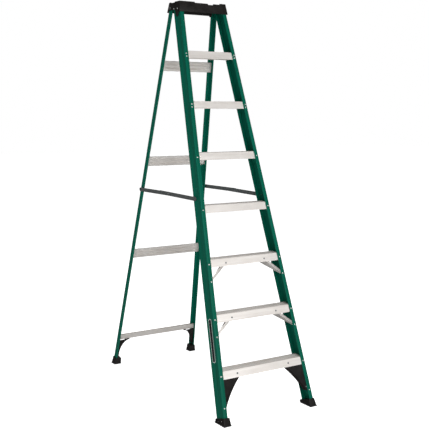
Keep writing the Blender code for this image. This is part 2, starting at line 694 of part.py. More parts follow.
def make_cap():
    """Moulded cap: drafted skirts, a tray with a notched rim, and lugs for the rails."""
    rim = CAP_RIM_Z
    low = CAP_SKIRT_Z

    def y_pair(pair, inset=0.0):
        return (APEX_Y + pair[0] + inset, APEX_Y + pair[1] - inset)

    body = tapered_mesh("top_cap", (-CAP_LOW_HALF, CAP_LOW_HALF),
                        (-CAP_HIGH_HALF, CAP_HIGH_HALF), y_pair(CAP_LOW_Y),
                        y_pair(CAP_HIGH_Y), (low, rim))
    cap = place(body, "top_cap", PLASTIC)
    edges = cap.modifiers.new("edges", "BEVEL")
    edges.width = 0.003
    edges.segments = 2

    def cut(name, mesh, operation="DIFFERENCE"):
        combine(cap, place_cutter(mesh, name), operation)

    ceiling = CAP_FLOOR_Z - CAP_WALL
    share = (ceiling - low) / (rim - low)
    inner_half = CAP_LOW_HALF + (CAP_HIGH_HALF - CAP_LOW_HALF) * share - CAP_WALL
    inner_y = [a + (b - a) * share for a, b in zip(y_pair(CAP_LOW_Y), y_pair(CAP_HIGH_Y))]
    low_half = CAP_LOW_HALF - CAP_WALL
    cut("cap_hollow", tapered_mesh(
        "cap_hollow", (-low_half - 0.0012, low_half + 0.0012), (-inner_half, inner_half),
        (y_pair(CAP_LOW_Y)[0] + CAP_WALL - 0.0026, y_pair(CAP_LOW_Y)[1] - CAP_WALL + 0.0026),
        (inner_y[0] + CAP_WALL, inner_y[1] - CAP_WALL), (low - 0.010, ceiling)))
    tray_half = CAP_HIGH_HALF - CAP_WALL - 0.001
    tray_y = y_pair(CAP_HIGH_Y, CAP_WALL + 0.001)
    cut("cap_tray", block_mesh("cap_tray", (-tray_half, tray_y[0], CAP_FLOOR_Z),
                               (tray_half, tray_y[1], rim + 0.01)))
    front = APEX_Y + CAP_LOW_Y[0]
    back = APEX_Y + CAP_LOW_Y[1]
    cut("side_skirt_cut", block_mesh("side_skirt_cut", (-0.2, front + 0.0100, low - 0.02),
                                     (0.2, back - 0.0090, 2.2610)))
    cut("back_skirt_cut", block_mesh("back_skirt_cut", (-0.2, back - 0.0200, low - 0.02),
                                     (0.2, back + 0.01, 2.2520)))
    rim_cuts = {"front_rim_low": ((-0.056, front - 0.01, rim - 0.0060),
                                  (0.118, tray_y[0] + 0.01, rim + 0.01)),
                "front_rim_notch": ((0.034, front - 0.01, CAP_FLOOR_Z + 0.0010),
                                    (0.072, tray_y[0] + 0.01, rim + 0.01)),
                "left_rim_low": ((-0.2, APEX_Y + 0.040, rim - 0.0050),
                                 (-tray_half + 0.01, APEX_Y + 0.088, rim + 0.01)),
                "right_rim_low": ((tray_half - 0.01, APEX_Y + 0.040, rim - 0.0050),
                                  (0.2, APEX_Y + 0.088, rim + 0.01))}
    for name, (corner_a, corner_b) in rim_cuts.items():
        cut(name, block_mesh(name, corner_a, corner_b))
    ear = ear_mesh("rail_ear", APEX_Y + 0.0050, 2.2200, 0.0130, 2.2640, 0.0240, 0.1630, 0.1662)
    lug = ear_mesh("pivot_lug", APEX_Y + PIVOT_Y, PIVOT_Z - 0.0350, 0.0150, ceiling + 0.001,
                   0.0180, 0.1140, 0.1180)
    for label, side in (("left", 1), ("right", -1)):
        cut(f"rail_ear_{label}", mirror_mesh(ear, -side), "UNION")
        cut(f"pivot_lug_{label}", mirror_mesh(lug, -side), "UNION")
    bores = [((0, APEX_Y + PIVOT_Y, PIVOT_Z), PIVOT_RADIUS + 0.0005, 0.4)]
    cut("pivot_bore", drills_mesh("pivot_bore", bores, "X", 16))


def make_pivot_pins():
    """Rivets that the rear section turns on, held by the cap's side and its inner lug."""
    length = 0.0575
    mesh = turned_mesh("pivot_pin", [
        (0, 0.0026), (0.0045, 0.0022), (0.0070, 0.0010), (0.0075, 0), (PIVOT_RADIUS, 0),
        (PIVOT_RADIUS, -length), (0, -length)], 16)
    for label, side in SIDES:
        place(mesh.copy(), f"rear_pivot_pin_{label}", STEEL, None,
              (side * 0.1660, APEX_Y + PIVOT_Y, PIVOT_Z), (0, side * math.pi / 2, 0))


# ---------------------------------------------------------------- spreaders

def bar_outline(length):
    radius = BAR_WIDTH / 2
    return arc((0, 0), (radius, radius), 90, 270, 8) + arc(
        (length, 0), (radius, radius), -90, 90, 8)


def make_spreaders():
    """Two flat bars a side, outside the rails, overlapping at the elbow."""
    front_y, front_z = BAR_FRONT_PIVOT
    rear_y, rear_z = BAR_REAR_PIVOT
    elbow_y, elbow_z = BAR_ELBOW
    web_face = FRONT_TOP_WIDTH / 2 + FRONT_FLARE / 2 * (APEX_Z - front_z)
    rear_face = REAR_TOP_WIDTH / 2 + REAR_FLARE / 2 * (APEX_Z - rear_z)
    inner_layer = web_face + BAR_OFFSET
    outer_layer = inner_layer + BAR_THICKNESS + 2 * GAP
    hole = RIVET_SHANK + 0.0005
    front_vector = Vector((elbow_y - front_y, elbow_z - front_z))
    rear_vector = Vector((elbow_y - rear_y, elbow_z - rear_z))
    turn = Matrix(((0, 0, 1, 0), (1, 0, 0, 0), (0, 1, 0, 0), (0, 0, 0, 1)))

    def bar(name, vector, layer, side, y, z):
        reach = vector.length
        holes = [circle((0, 0), hole), circle((reach, 0), hole)]
        mesh = outline_mesh(name, bar_outline(reach + BAR_OVERLAP), BAR_THICKNESS, holes)
        angle = math.atan2(vector.y, vector.x)
        mesh.transform(turn @ Matrix.Rotation(angle, 4, "Z"))
        place(mesh, name, STEEL, None, (side * (layer + BAR_THICKNESS / 2), APEX_Y + y, z))

    top = 0.0016
    head = 0.0068
    front_rivet = turned_mesh("bar_rivet", [
        (0, top), (head * 0.7, top * 0.8), (head, 0), (RIVET_SHANK, 0),
        (RIVET_SHANK, -0.0125), (0, -0.0125)])
    under_bar = BAR_THICKNESS + 2 * GAP
    collar = outer_layer - GAP - rear_face - 0.0009
    rear_rivet = turned_mesh("bar_rivet", [
        (0, top), (head * 0.7, top * 0.8), (head, 0), (RIVET_SHANK, 0),
        (RIVET_SHANK, -under_bar), (COLLAR_RADIUS, -under_bar),
        (COLLAR_RADIUS, -under_bar - collar), (RIVET_SHANK, -under_bar - collar),
        (RIVET_SHANK, -0.0160), (0, -0.0160)])
    elbow_rivet = turned_mesh("elbow_rivet", [
        (0, top), (head * 0.7, top * 0.8), (head, 0), (RIVET_SHANK, 0),
        (RIVET_SHANK, -BAR_THICKNESS - GAP), (0, -BAR_THICKNESS - GAP)])
    for label, side in SIDES:
        bar(f"spreader_front_{label}", front_vector, inner_layer, side, front_y, front_z)
        bar(f"spreader_rear_{label}", rear_vector, outer_layer, side, rear_y, rear_z)
        outward = (0, side * math.pi / 2, 0)
        place(front_rivet.copy(), f"spreader_front_rivet_{label}", STEEL, None,
              (side * (inner_layer + BAR_THICKNESS + GAP), APEX_Y + front_y, front_z), outward)
        place(rear_rivet.copy(), f"spreader_rear_rivet_{label}", STEEL, None,
              (side * (outer_layer + BAR_THICKNESS + GAP), APEX_Y + rear_y, rear_z), outward)
        place(elbow_rivet.copy(), f"spreader_elbow_rivet_{label}", STEEL, None,
              (side * (outer_layer + BAR_THICKNESS + GAP), APEX_Y + elbow_y, elbow_z), outward)


def main():
    make_front_rails()
    for number in range(1, STEP_COUNT + 1):
        make_step(number)
    make_step_rivets()
    make_knee_braces()
    make_front_gussets()
    make_rear_rails()
    make_rear_bars()
    make_rear_gussets()
    make_feet()
    make_cap()
    make_pivot_pins()
    make_spreaders()


main()
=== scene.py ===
"""Looks for the open fibreglass stepladder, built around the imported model.

Metres, +Z up, -Y towards the climber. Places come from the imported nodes: the two sections'
leans and widths are measured on their rails, and small fittings are set off from their
neighbours' boxes by the values below.
"""
import math

import bmesh
import bpy
from mathutils import Matrix, Vector


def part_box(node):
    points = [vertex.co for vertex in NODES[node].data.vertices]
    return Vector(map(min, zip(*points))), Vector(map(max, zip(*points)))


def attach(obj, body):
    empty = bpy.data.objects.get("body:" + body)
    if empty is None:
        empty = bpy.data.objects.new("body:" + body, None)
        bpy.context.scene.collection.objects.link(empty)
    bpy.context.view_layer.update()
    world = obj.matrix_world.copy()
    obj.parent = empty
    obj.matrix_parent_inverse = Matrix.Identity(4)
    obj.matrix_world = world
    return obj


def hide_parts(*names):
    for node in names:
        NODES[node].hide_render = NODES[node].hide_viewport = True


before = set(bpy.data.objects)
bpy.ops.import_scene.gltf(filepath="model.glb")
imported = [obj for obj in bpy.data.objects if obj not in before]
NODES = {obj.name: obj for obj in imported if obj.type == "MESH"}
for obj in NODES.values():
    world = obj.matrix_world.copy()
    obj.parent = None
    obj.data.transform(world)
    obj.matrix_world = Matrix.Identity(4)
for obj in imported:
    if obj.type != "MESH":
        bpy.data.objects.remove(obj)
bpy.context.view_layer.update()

SIDES = (("left", -1), ("right", 1))
STEPS = range(1, 8)
WELD = 0.00002

# Pultruded rails
RAIL_WALL = 0.0032
RAIL_CORNER = 0.0042
REAR_RAIL_WALL = 0.0030
REAR_RAIL_CORNER = 0.0036
INNER_CORNER = 0.0012
RAIL_LIP = 0.0011                     # extra thickness of a flange's rounded lip
LIP_WIDTH = 0.0045
LIPPED_FLANGE = 0.012                 # a front flange no wider than this has no lip
EDGE_BAND = 0.0085                    # widest band along a web's edges
EDGE_BAND_SHARE = 0.24                # and its most as a share of the web
PANEL_RELIEF = 0.0005                 # web panel, set in between its two edge bands
PANEL_SLOPE = 0.0010                  # width of the slope from band to panel

# Pressed steps
STEP_SHEET = 0.0022
STEP_GAP = 0.0004                     # to the rails' flanges
STEP_END_GAP = 0.0006                 # to the rails' webs
TREAD_RIBS = 9
TREAD_MARGIN = 0.006                  # plain edge in front of the ribs and behind them
RIB_HEIGHT = 0.0015
HEM = 0.0050                          # apron's lower edge, turned in
HEM_TAPER = 0.0004
NOSE_GAP = 0.0045                     # nose plate to the flange's edge
NOSE_SETBACK = 0.0004                 # behind the flanges' faces
NOSE_CORNER = 0.0075
NOSE_TOP_CORNER = 0.0030
NOSE_CROWN = 0.0012                   # its top edge leans back by this much
NOSE_CROWN_DROP = 0.006               # over this height

# Heads: radius, height and, under some, how far a washer stands out
STEP_HEAD = (0.0046, 0.0019)
BRACE_HEAD = (0.0040, 0.0016, 0.0008)
GUSSET_HEAD = (0.0042, 0.0016, 0.0008)
SHOE_HEAD = (0.0040, 0.0015)
BAR_HEAD = (0.0042, 0.0016)
CAP_HEAD = (0.0042, 0.0017)
STOP_HEAD = (0.0036, 0.0014)
PAIR_PITCH = 0.0175                   # the two rivets at each end of the top two steps
FIRST_PAIRED_STEP = 6
BRACE_INSET = 0.0070                  # brace heads to the ends of their brace
GUSSET_SCREW_INSET = 0.030            # gusset heads to the gusset's two tips
GUSSET_BOLT_GAP = 0.0015              # bolt's middle to the rail's lip
GUSSET_BOLT_DEPTH = 0.0062

# Feet
BOOT_WALL = 0.0040
BOOT_FLARE = 0.0032                   # how far a shoe widens at its sole
BOOT_FLARE_POWER = 1.4
BOOT_FLARED_SHARE = 0.72              # only its outer part widens
SHOE_RIVET_SHARE = 0.56
SHOE_RIVET_DEPTHS = (0.018, 0.056)
FOOT_RIVET_INSET = 0.0120
FOOT_RIVET_RISE = 0.047               # above the shoe
STRIP_DEPTHS = (0.010, 0.024)         # wear strip inside a front rail
STRIP_HEIGHTS = (0.045, 0.112)
STRIP_SHEET = 0.0012

# Rear bars: places across the sheet are shares of its half height
BAR_SHEET = 0.0014
BAR_END_GAP = 0.0038
BAR_FLAT_END = 0.026
BAR_FADE = 0.020                      # length over which the ridges die out
BAR_RIDGES = (-0.36, 0.34)
BAR_RIDGE_SHARE = 0.17
BAR_CURL_START = 0.90
BAR_CURL_SHARE = 0.7                  # height of a curled edge against a ridge
BAR_CURL_DROP = 0.0010
BAR_WAVE = 0.055                      # a curled edge's waviness: length and height
BAR_WAVE_HEIGHT = 0.0005
BAR_ROWS = 44
BAR_COLUMNS = 48
BAR_RIVETS = ((0.020, 0.0135), (0.0, 0.0165), (-0.020, 0.0135))     # height, inset
BOTTOM_RIVET_INSETS = (0.0125, 0.0560)
BOTTOM_RIVET_DROP = 0.003
BOTTOM_BAR_SHEET = 0.0027

# Cap
NAME_PANEL_HALF = (0.070, 0.0105)
NAME_PANEL_CORNER = 0.005
NAME_PANEL_LEVEL = 0.66
CAP_RIBS = 9
CAP_RIB_FIRST = 0.14                  # shares of the cap's width
CAP_RIB_PITCH = 0.09
CAP_RIB_ENDS = (0.24, 0.78)           # shares of its depth
CAP_RIB_HALF = 0.0012
CAP_RIVETS = ((0.41, 0.52), (0.15, 0.51))     # shares of its depth and height

# Spreaders
TROUGH_INSET = 0.0036
TROUGH_SLOPE = 0.0009
TROUGH_DEPTH = 0.0007
STOP_PLACE = 0.022                    # along a rear bar from its elbow

# Blank label on each front rail, with a low point at each end
LABEL_WIDTH = 0.028
LABEL_LENGTH = 0.240
LABEL_MIDDLE = 0.4385
LABEL_POINT = 0.006
LABEL_RIM = 0.0022
LABEL_FILM = 0.0002

# Light and camera
UPWARD_SHADE = (0.56, 0.54, 0.52)        # painted shade on faces that look up, such as treads, against the aprons
ROOM_LIGHT = 0.34                     # the white room's glow on the ladder
ROOM_GLOSS = 0.10                     # and its reflection
FLOOR_GLOW = 0.80
LIGHTS = {"key": ((-0.6, -5.4, 2.2), 3.0, 265),      # place, size, power
          "fill": ((-5.0, -0.5, 2.6), 2.6, 60),
          "back": ((1.5, 4.5, 3.6), 3.0, 60)}
LIGHTS_AIM = (0, 0, 1.1)
CAMERA_PLACE = (-2.6359, -4.2468, 1.6466)
CAMERA_TILT = 6.7985                  # degrees below level
CAMERA_TURN = 32.45                   # degrees to the right of straight ahead
CAMERA_LENS = 69.71


# ---------------------------------------------------------------- measuring the model

def broadest_normal(node, towards):
    """Normal of the widest flat face of a node that faces roughly that way."""
    best = max((face for face in NODES[node].data.polygons
                if face.normal.dot(Vector(towards)) > 0.9), key=lambda face: face.area)
    return best.normal.copy()


def points_of(node, matrix=None):
    """A node's vertices in the world, or in a matrix's own axes."""
    into = matrix.inverted() if matrix else Matrix.Identity(4)
    return [into @ vert.co for vert in NODES[node].data.vertices]


class Section:
    """One leaning frame of the ladder. Its Z runs up the slope and its Y into the depth."""

    def __init__(self, left_rail):
        front = broadest_normal(left_rail, (0, -1, 0))
        web = broadest_normal(left_rail, (-1, 0, 0))
        self.lean = math.atan2(front.z, -front.y)
        up = Vector((0, math.sin(self.lean), math.cos(self.lean)))
        self.splay = math.asin(web.dot(up))
        face = min(p.y - p.z * math.tan(self.lean) for p in points_of(left_rail))
        self.matrix = Matrix.Translation((0, face, 0)) @ Matrix.Rotation(-self.lean, 4, "X")
        local = points_of(left_rail, self.matrix)
        self.half_at_floor = max(-p.x + p.z * math.tan(self.splay) for p in local)
        self.depth = max(p.y for p in local)
        low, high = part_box(left_rail)
        self.low_z = low.z
        self.high_z = high.z

    def half(self, along):
        """Outer half width at a distance up the slope."""
        return self.half_at_floor - along * math.tan(self.splay)

    def along(self, z):
        return z / math.cos(self.lean)

    def rail_matrix(self, side):
        return (self.matrix @ Matrix.Translation((side * self.half_at_floor, 0, 0))
                @ Matrix.Rotation(-side * self.splay, 4, "Y"))


FRONT = Section("front_rail_left")
REAR = Section("rear_rail_left")


# ---------------------------------------------------------------- procedural materials

class Finish:
    """A node material whose colour, roughness and relief all vary over the surface.

    Its pattern follows the world's axes, or those of a rail's matrix.
    """

    def __init__(self, name, roughness, metallic=0.0, axes=None):
        self.material = bpy.data.materials.new(name)
        self.material.use_nodes = True
        self.tree = self.material.node_tree
        self.shader = self.tree.nodes["Principled BSDF"]
        self.shader.inputs["Roughness"].default_value = roughness
        self.shader.inputs["Metallic"].default_value = metallic
        self.place = self.tree.nodes.new("ShaderNodeTexCoord").outputs["Object"]
        if axes:
            turn = self.tree.nodes.new("ShaderNodeMapping")
            turn.inputs["Rotation"].default_value = axes.to_3x3().inverted().to_euler()
            self.link(self.place, turn.inputs["Vector"])
            self.place = turn.outputs["Vector"]
        self.relief = None

    def link(self, source, target):
        self.tree.links.new(source, target)

    def noise(self, stretch, detail=4.0, roughness=0.55):
        """Noise whose scale along each object axis is one of stretch, per metre."""
        mapping = self.tree.nodes.new("ShaderNodeMapping")
        mapping.inputs["Scale"].default_value = stretch
        texture = self.tree.nodes.new("ShaderNodeTexNoise")
        texture.inputs["Scale"].default_value = 1.0
        texture.inputs["Detail"].default_value = detail
        texture.inputs["Roughness"].default_value = roughness
        self.link(self.place, mapping.inputs["Vector"])
        self.link(mapping.outputs["Vector"], texture.inputs["Vector"])
        return texture.outputs["Fac"]

    def ramp(self, value, stops):
        """Colours between (position, colour) stops."""
        node = self.tree.nodes.new("ShaderNodeValToRGB")
        elements = node.color_ramp.elements
        while len(elements) < len(stops):
            elements.new(0.5)
        for element, (position, colour) in zip(elements, stops):
            element.position = position
            element.color = (*colour, 1.0)
        self.link(value, node.inputs["Fac"])
        return node.outputs["Color"]

    def spread(self, value, low, high):
        """Noise, which lies mostly between 0.3 and 0.7, stretched over another range."""
        node = self.tree.nodes.new("ShaderNodeMapRange")
        node.inputs["From Min"].default_value = 0.3
        node.inputs["From Max"].default_value = 0.7
        node.inputs["To Min"].default_value = low
        node.inputs["To Max"].default_value = high
        self.link(value, node.inputs["Value"])
        return node.outputs["Result"]

    def tinted(self, first, second):
        """One colour multiplied by another."""
        node = self.tree.nodes.new("ShaderNodeMix")
        node.data_type = "RGBA"
        node.blend_type = "MULTIPLY"
        node.inputs["Factor"].default_value = 1.0
        self.link(first, node.inputs["A"])
        self.link(second, node.inputs["B"])
        return node.outputs["Result"]

    def upward(self, above, elsewhere):
        """One colour on faces that look up, such as treads, and another elsewhere."""
        normal = self.tree.nodes.new("ShaderNodeTexCoord").outputs["Normal"]
        split = self.tree.nodes.new("ShaderNodeSeparateXYZ")
        self.link(normal, split.inputs["Vector"])
        return self.ramp(split.outputs["Z"], [(0.80, elsewhere), (0.97, above)])

    def colour(self, source):
        self.link(source, self.shader.inputs["Base Color"])

    def roughness(self, source):
        self.link(source, self.shader.inputs["Roughness"])

    def bump(self, value, distance, strength):
        """Relief, laid over any that the finish already has."""
        node = self.tree.nodes.new("ShaderNodeBump")
        node.inputs["Distance"].default_value = distance
        node.inputs["Strength"].default_value = strength
        self.link(value, node.inputs["Height"])
        if self.relief:
            self.link(self.relief, node.inputs["Normal"])
        self.relief = node.outputs["Normal"]
        self.link(self.relief, self.shader.inputs["Normal"])


def fibreglass(name, axes):
    """Glossy green resin with strands along the rail and a faint veil under the surface."""
    finish = Finish(name, 0.4, axes=axes)
    strands = finish.noise((420, 420, 5), 5)
    cloud = finish.noise((14, 14, 3), 3)
    base = finish.ramp(strands, [(0.32, (0.0001, 0.061, 0.037)), (0.5, (0.0002, 0.073, 0.045)),
                                 (0.68, (0.0008, 0.090, 0.058))])
    tone = finish.ramp(cloud, [(0.35, (0.88, 0.90, 0.90)), (0.65, (1, 1, 1))])
    finish.colour(finish.tinted(base, tone))
    finish.roughness(finish.spread(finish.noise((160, 160, 9), 3), 0.34, 0.50))
    finish.bump(strands, 0.0003, 0.35)
    finish.bump(finish.noise((900, 900, 500), 2), 0.0002, 0.25)
    finish.shader.inputs["Specular IOR Level"].default_value = 0.07
    return finish.material


def mill_aluminium(name, stretch, shade=1.0):
    """Extruded aluminium with die lines, which run along the axis of low stretch."""
    finish = Finish(name, 0.36, 0.6)
    lines = finish.noise(stretch, 6, 0.65)
    patches = finish.noise((7, 24, 24), 3)
    tints = ((0.30, (0.82, 0.775, 0.735)), (0.5, (0.90, 0.86, 0.82)), (0.72, (0.96, 0.93, 0.90)))
    base = finish.ramp(lines, [(stop, [shade * part for part in tint]) for stop, tint in tints])
    tone = finish.ramp(patches, [(0.35, (0.93, 0.92, 0.91)), (0.65, (1, 1, 1))])
    worn = finish.tinted(base, tone)
    # Painted shade: faces that look up, such as treads, are darkened by a fixed factor
    finish.colour(finish.tinted(worn, finish.upward(UPWARD_SHADE, (1, 1, 1))))
    finish.roughness(finish.spread(lines, 0.30, 0.48))
    finish.bump(lines, 0.0002, 0.3)
    return finish.material


def plated_steel():
    """Dull zinc-grey plating with a fine crystal pattern and rolling marks."""
    finish = Finish("plated_steel", 0.45, 0.7)
    crystals = finish.noise((260, 260, 260), 5, 0.7)
    rolled = finish.noise((30, 14, 300), 4)
    base = finish.ramp(crystals, [(0.3, (0.115, 0.125, 0.125)), (0.7, (0.215, 0.228, 0.228))])
    tone = finish.ramp(rolled, [(0.35, (0.84, 0.85, 0.86)), (0.65, (1, 1, 1))])
    finish.colour(finish.tinted(base, tone))
    finish.roughness(finish.spread(crystals, 0.36, 0.56))
    finish.bump(crystals, 0.0002, 0.3)
    return finish.material


def moulded_plastic():
    """Black polypropylene with a moulded leather-fine grain."""
    finish = Finish("black_plastic", 0.5)
    grain = finish.noise((1300, 1300, 1300), 3)
    haze = finish.noise((22, 22, 22), 4)
    finish.colour(finish.ramp(haze, [(0.3, (0.0060, 0.0055, 0.0052)),
                                     (0.7, (0.0125, 0.0110, 0.0102))]))
    finish.shader.inputs["Specular IOR Level"].default_value = 0.14
    finish.roughness(finish.spread(haze, 0.42, 0.60))
    finish.bump(grain, 0.0003, 0.45)
    return finish.material


def sole_rubber():
    """Matt black rubber, gritty from use."""
    finish = Finish("sole_rubber", 0.8)
    grit = finish.noise((700, 700, 700), 6, 0.7)
    finish.colour(finish.ramp(grit, [(0.3, (0.008, 0.008, 0.009)), (0.75, (0.030, 0.029, 0.028))]))
    finish.roughness(finish.spread(grit, 0.7, 0.92))
    finish.bump(grit, 0.0005, 0.6)
    return finish.material


def rivet_metal():
    """Pressed aluminium rivet, brushed by the setting tool."""
    finish = Finish("rivet_metal", 0.3, 0.85)
    marks = finish.noise((800, 800, 800), 4)
    finish.colour(finish.ramp(marks, [(0.3, (0.52, 0.55, 0.53)), (0.7, (0.74, 0.76, 0.74))]))
    finish.roughness(finish.spread(marks, 0.24, 0.42))
    finish.bump(marks, 0.0001, 0.3)
    return finish.material


def printed_film(name, dark, light, roughness):
    """Printed plastic film, faintly flecked."""
    finish = Finish(name, roughness)
    flecks = finish.noise((500, 500, 500), 5)
    finish.colour(finish.ramp(flecks, [(0.3, dark), (0.7, light)]))
    finish.roughness(finish.spread(flecks, roughness - 0.06, roughness + 0.08))
    finish.shader.inputs["Specular IOR Level"].default_value = 0.12
    finish.bump(flecks, 0.0001, 0.2)
    return finish.material


STEP_METAL = mill_aluminium("step_aluminium", (2.5, 520, 520))
BAR_METAL = mill_aluminium("bar_aluminium", (1.2, 110, 110), 0.78)
PLATE_METAL = mill_aluminium("brace_aluminium", (90, 90, 240), 0.62)
STEEL = plated_steel()
PLASTIC = moulded_plastic()
RUBBER = sole_rubber()
RIVET = rivet_metal()
LABEL_DARK = printed_film("label_dark", (0.003, 0.005, 0.005), (0.007, 0.010, 0.010), 0.45)
LABEL_LIGHT = printed_film("label_light", (0.52, 0.55, 0.54), (0.64, 0.66, 0.65), 0.42)


# ---------------------------------------------------------------- mesh helpers

def arc(centre, radii, start, end, segments):
    """Points on an ellipse's arc, angles in degrees."""
    points = []
    for index in range(segments + 1):
        angle = math.radians(start + (end - start) * index / segments)
        points.append((centre[0] + radii[0] * math.cos(angle),
                       centre[1] + radii[1] * math.sin(angle)))
    return points


def rounded(corners, segments=4):
    """Outline whose corners, given as (x, y, radius), are turned into arcs."""
    outline = []
    count = len(corners)
    for index, (x, y, radius) in enumerate(corners):
        if radius == 0:
            outline.append((x, y))
            continue
        here = Vector((x, y))
        before = (Vector(corners[index - 1][:2]) - here).normalized()
        after = (Vector(corners[(index + 1) % count][:2]) - here).normalized()
        half_angle = before.angle(after) / 2
        centre = here + (before + after).normalized() * radius / math.sin(half_angle)
        reach = radius / math.tan(half_angle)
        first = here + before * reach - centre
        last = here + after * reach - centre
        sweep = first.angle_signed(last)
        for step in range(segments + 1):
            point = first.copy()
            point.rotate(Matrix.Rotation(-sweep * step / segments, 2))
            outline.append(tuple(centre + point))
    return outline


def prism(name, outline, low, high):
    """Closed outline in XY, extruded along Z."""
    shape = bmesh.new()
    base = [shape.verts.new((x, y, low)) for x, y in outline]
    bottom = shape.faces.new(base)
    grown = bmesh.ops.extrude_face_region(shape, geom=[bottom])
    top = [item for item in grown["geom"] if isinstance(item, bmesh.types.BMVert)]
    bmesh.ops.translate(shape, verts=top, vec=(0, 0, high - low))
    bmesh.ops.recalc_face_normals(shape, faces=shape.faces)
    return to_mesh(name, shape)


def to_mesh(name, shape):
    mesh = bpy.data.meshes.new(name)
    shape.to_mesh(mesh)
    shape.free()
    return mesh


def merged(name, meshes):
    """Several meshes as one."""
    shape = bmesh.new()
    for mesh in meshes:
        shape.from_mesh(mesh)
    return to_mesh(name, shape)


def mirrored(mesh, side):
    """The left hand's mesh as it is, or mirrored for the right hand."""
    copy = mesh.copy()
    if side > 0:
        copy.transform(Matrix.Scale(-1, 4, (1, 0, 0)))
        copy.flip_normals()
    return copy


def turned(name, profile, segments=20):
    """Solid of revolution about Z from (radius, z) points."""
    shape = bmesh.new()
    verts = [shape.verts.new((radius, 0, z)) for radius, z in profile]
    edges = [shape.edges.new(pair) for pair in zip(verts, verts[1:])]
    bmesh.ops.spin(shape, geom=verts + edges, cent=(0, 0, 0), axis=(0, 0, 1),
                   angle=math.tau, steps=segments, use_merge=True)
    bmesh.ops.remove_doubles(shape, verts=shape.verts, dist=WELD)
    bmesh.ops.recalc_face_normals(shape, faces=shape.faces)
    return to_mesh(name, shape)


def rivet_head(radius, height, collar=0.0):
    """Domed head with a dimple in its middle, its underside just below z = 0."""
    dome = [(0, height * 0.88), (radius * 0.16, height * 0.88), (radius * 0.24, height)]
    for step in range(1, 5):
        angle = math.radians(90 - 90 * step / 4)
        dome.append((radius * (0.24 + 0.76 * math.cos(angle)), height * math.sin(angle)))
    if collar:
        dome += [(radius + collar, 0), (radius + collar, -0.0006)]
    return turned("rivet_head", dome + [(dome[-1][0], -0.0012), (0, -0.0012)])


def show(name, mesh, matrix, material, body, nodes=(), bevel=0.0, sharp=40, segments=2):
    """Put a finished mesh in the scene, riding on a body in place of some nodes."""
    mesh.transform(matrix)
    mesh.materials.clear()
    mesh.materials.append(material)
    mesh.shade_smooth()
    if bevel == 0:
        mesh.set_sharp_from_angle(angle=math.radians(sharp))
    piece = bpy.data.objects.new(name, mesh)
    bpy.context.scene.collection.objects.link(piece)
    if bevel:
        edges = piece.modifiers.new("edges", "BEVEL")
        edges.width = bevel
        edges.segments = segments
        edges.limit_method = "ANGLE"
        edges.angle_limit = math.radians(sharp)
        edges.harden_normals = True
    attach(piece, body)
    if nodes:
        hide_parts(*nodes)
    return piece


def solid_of(node, matrix):
    """A node's own solid in another frame, with its coplanar triangles merged."""
    shape = bmesh.new()
    shape.from_mesh(NODES[node].data)
    bmesh.ops.remove_doubles(shape, verts=shape.verts, dist=WELD)
    bmesh.ops.dissolve_limit(shape, angle_limit=math.radians(0.5), verts=shape.verts,
                             edges=shape.edges)
    mesh = to_mesh(node, shape)
    mesh.transform(matrix.inverted())
    return mesh


def facing(direction):
    """Rotation that turns +Z to a direction."""
    return Vector(direction).to_track_quat("Z", "Y").to_matrix().to_4x4()


def scatter(name, head, places, matrix, material, body, nodes=()):
    """One object holding the same head at several (point, direction) places."""
    meshes = []
    for point, direction in places:
        copy = head.copy()
        copy.transform(Matrix.Translation(point) @ facing(direction))
        meshes.append(copy)
    return show(name, merged(name, meshes), matrix, material, body, nodes)


# ---------------------------------------------------------------- rails

def cut_level(mesh, matrix, low_z, high_z, square_top=None):
    """Slide a prism's ends along its own axis until they lie level in the world.

    A square top is cut across the rail instead, at that height up its own axis.
    """
    axis = matrix.to_3x3() @ Vector((0, 0, 1))
    middle = sum(vert.co.z for vert in mesh.vertices) / len(mesh.vertices)
    for vert in mesh.vertices:
        is_top = vert.co.z > middle
        level = high_z if is_top else low_z
        foot = matrix @ Vector((vert.co.x, vert.co.y, 0))
        vert.co.z = (level - foot.z) / axis.z
        if is_top and square_top is not None:
            vert.co.z = square_top


def rail_outline(depth, front_flange, back_flange, wall, corner):
    """Channel with rounded heels, thickened flange lips and a set-in web panel."""
    band = min(EDGE_BAND, depth * EDGE_BAND_SHARE)
    tip = wall * 0.45
    lip_start = front_flange - LIP_WIDTH
    outline = [(0, 0, corner), (front_flange, 0, tip)]
    if front_flange > LIPPED_FLANGE:
        outline += [(front_flange, wall + RAIL_LIP, tip), (lip_start, wall + RAIL_LIP, 0),
                    (lip_start - RAIL_LIP, wall, 0)]
    else:
        outline.append((front_flange, wall, wall * 0.4))
    outline += [(wall, wall, INNER_CORNER), (wall, depth - wall, INNER_CORNER)]
    lip_start = back_flange - LIP_WIDTH
    outline += [(lip_start - RAIL_LIP, depth - wall, 0),
                (lip_start, depth - wall - RAIL_LIP, 0),
                (back_flange, depth - wall - RAIL_LIP, tip),
                (back_flange, depth, tip), (0, depth, corner)]
    outline += [(0, depth - band, 0), (PANEL_RELIEF, depth - band - PANEL_SLOPE, 0),
                (PANEL_RELIEF, band + PANEL_SLOPE, 0), (0, band, 0)]
    return rounded(outline)


def build_rails(section, prefix, wall, flanges, corner, body):
    """A section's two rails. The rear ones are square on top, to fold clear of the cap."""
    outline = rail_outline(section.depth, *flanges, wall, corner)
    for label, side in SIDES:
        node = f"{prefix}_{label}"
        matrix = section.rail_matrix(side)
        mesh = mirrored(prism(prefix, outline, 0, 1), side)
        square_top = None
        if section is REAR:
            square_top = max(p.z for p in points_of(node, matrix))
        cut_level(mesh, matrix, section.low_z, section.high_z, square_top)
        green = fibreglass(f"fibreglass_{node}", matrix)
        show(f"{node}_pultrusion", mesh, matrix, green, body, [node],
             sharp=28)


def flange_widths(section, node):
    """How far the front and back flanges reach in from the web's outer face."""
    local = points_of(node, section.rail_matrix(-1))
    front = max(p.x for p in local if p.y < section.depth * 0.2)
    back = max(p.x for p in local if p.y > section.depth * 0.8)
    return front, back


